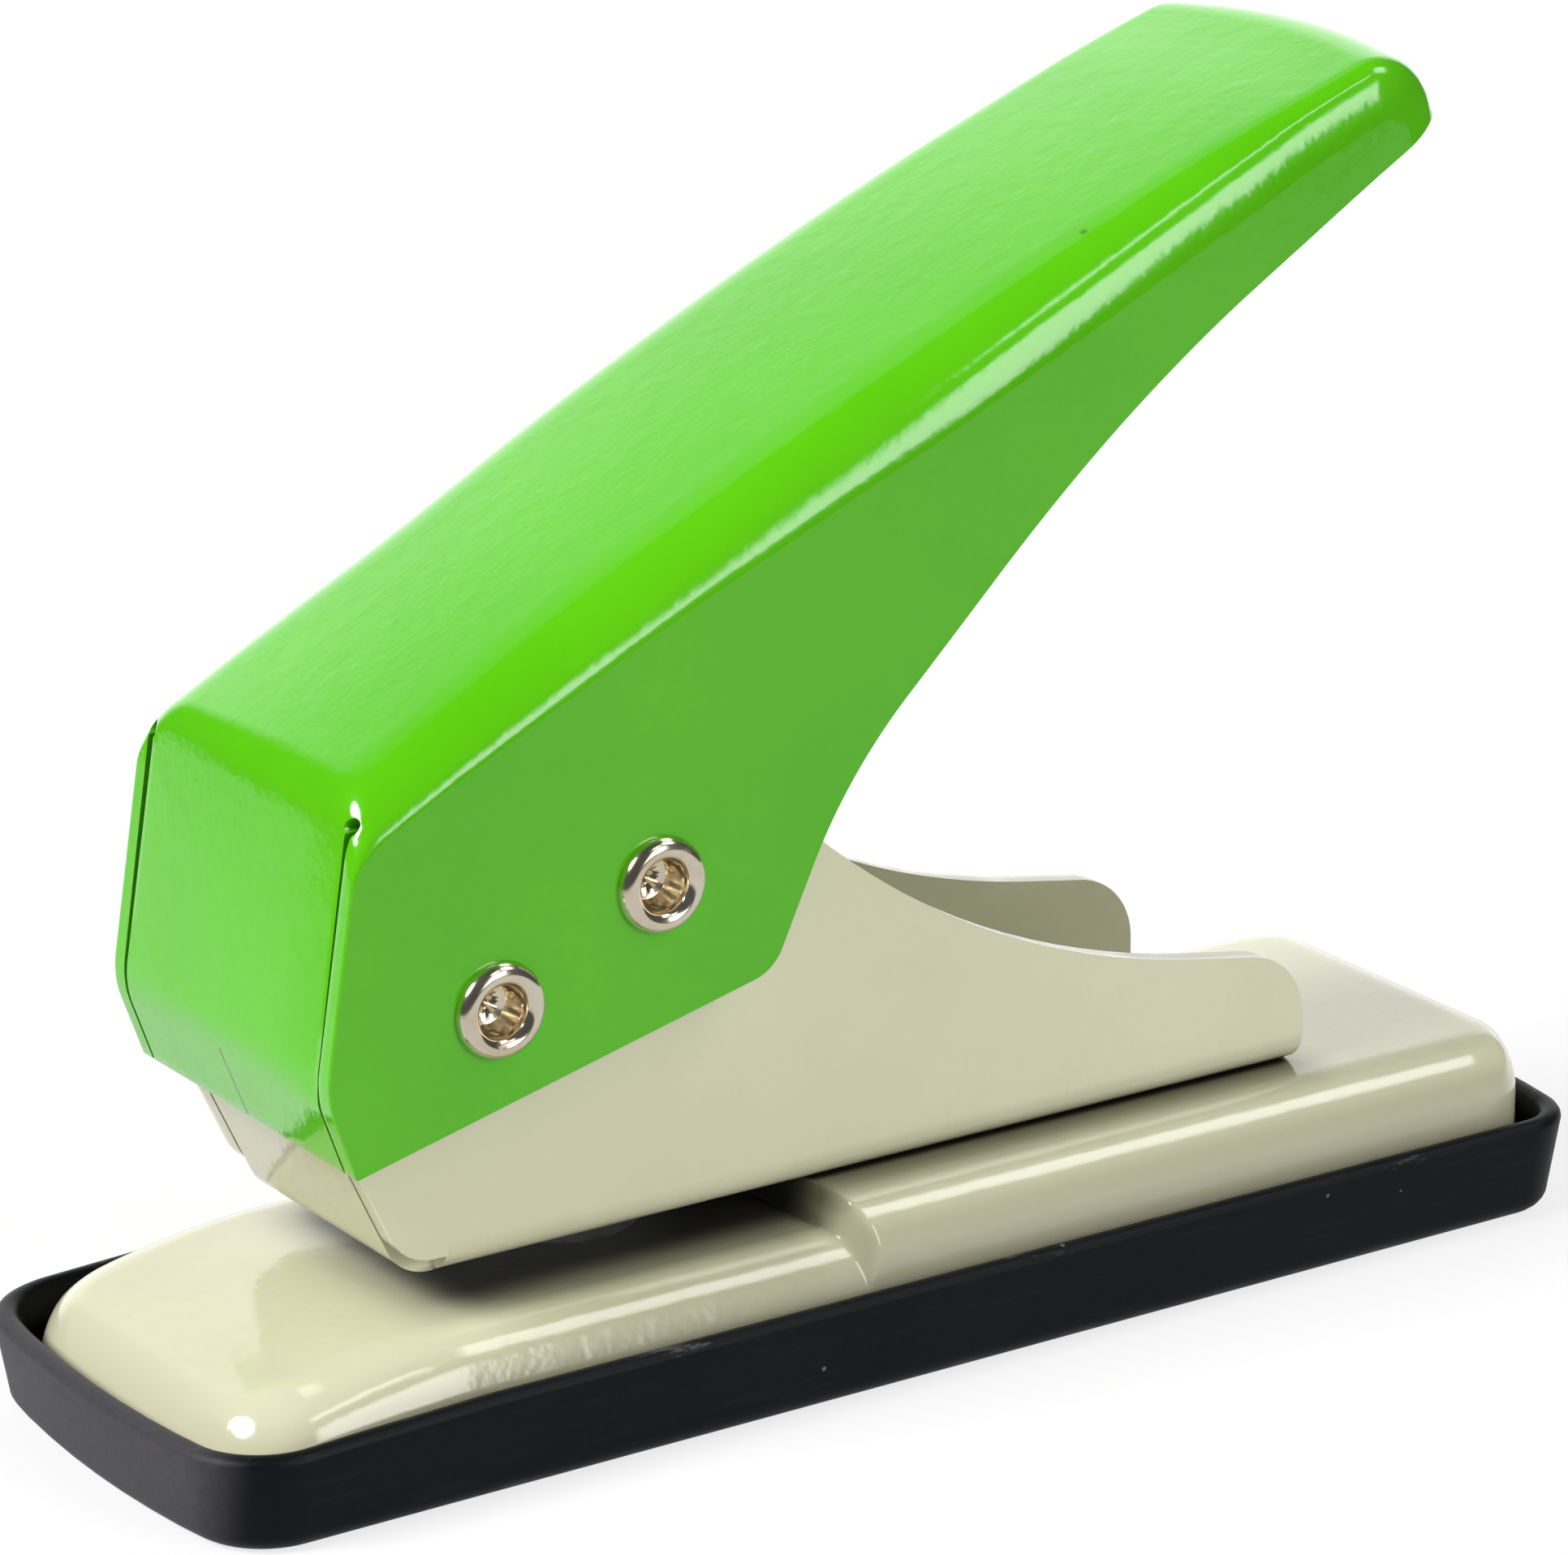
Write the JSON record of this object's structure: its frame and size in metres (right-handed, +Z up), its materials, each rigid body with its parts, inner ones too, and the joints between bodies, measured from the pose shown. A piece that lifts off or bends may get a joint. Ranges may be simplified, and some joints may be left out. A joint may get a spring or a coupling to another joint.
{
  "type": "single hole punch",
  "caption": "Desk hole punch: a folded enamelled lever on a U frame drives a sprung punch through a die in a pressed base, which stands in a soft tray that catches the chips.",
  "frame": {"origin": "under the middle of the tray, on the desk", "axes": "+X along the tray towards the handle's tip, +Y across it to the side of the pins' formed heads, +Z up"},
  "size_m": [0.106, 0.0336, 0.0791],
  "materials": {
    "green_enamel": "glossy green enamel",
    "beige_enamel": "glossy beige enamel",
    "black_plastic": "satin black soft plastic",
    "nickel_plate": "polished nickel plate",
    "plated_steel": "bright zinc plate",
    "tool_steel": "ground hardened steel",
    "spring_steel": "oiled spring steel"
  },
  "bodies": {
    "tray_body": {"chip_tray": "black_plastic"},
    "stand_body": {"base": "beige_enamel", "frame": "beige_enamel", "die_plate": "tool_steel", "die_rivets": "plated_steel", "frame_rivets": "plated_steel", "punch_guide": "plated_steel", "guide_rivets": "plated_steel", "return_spring": "spring_steel"},
    "lever_body": {"lever": "green_enamel", "pivot_pin": "nickel_plate", "drive_pin": "nickel_plate", "drive_sleeve": "tool_steel", "spacer_washers": "plated_steel"},
    "punch_body": {"punch_pin": "tool_steel", "retaining_clip": "spring_steel", "spring_washer": "plated_steel"}
  },
  "joints": [
    {"name": "tray_pull", "type": "slide", "parent": "tray_body", "child": "stand_body", "axis": [0, 0, 1], "range_m": [0, 0.006]},
    {"name": "lever_hinge", "type": "hinge", "parent": "stand_body", "child": "lever_body", "pos_m": [-0.03035, 0, 0.02995], "axis": [0, 1, 0], "range_deg": [0, 21], "stiffness_Nm_per_rad": 0.15, "springref_deg": -20.05},
    {"name": "punch_slide", "type": "slide", "parent": "stand_body", "child": "punch_body", "axis": [0, 0, -1], "range_m": [0, 0.00448], "deforming": ["return_spring"]}
  ],
  "couplings": [
    {"joint": "punch_slide", "follows": "lever_hinge", "m_per_rad": 0.0122}
  ]
}
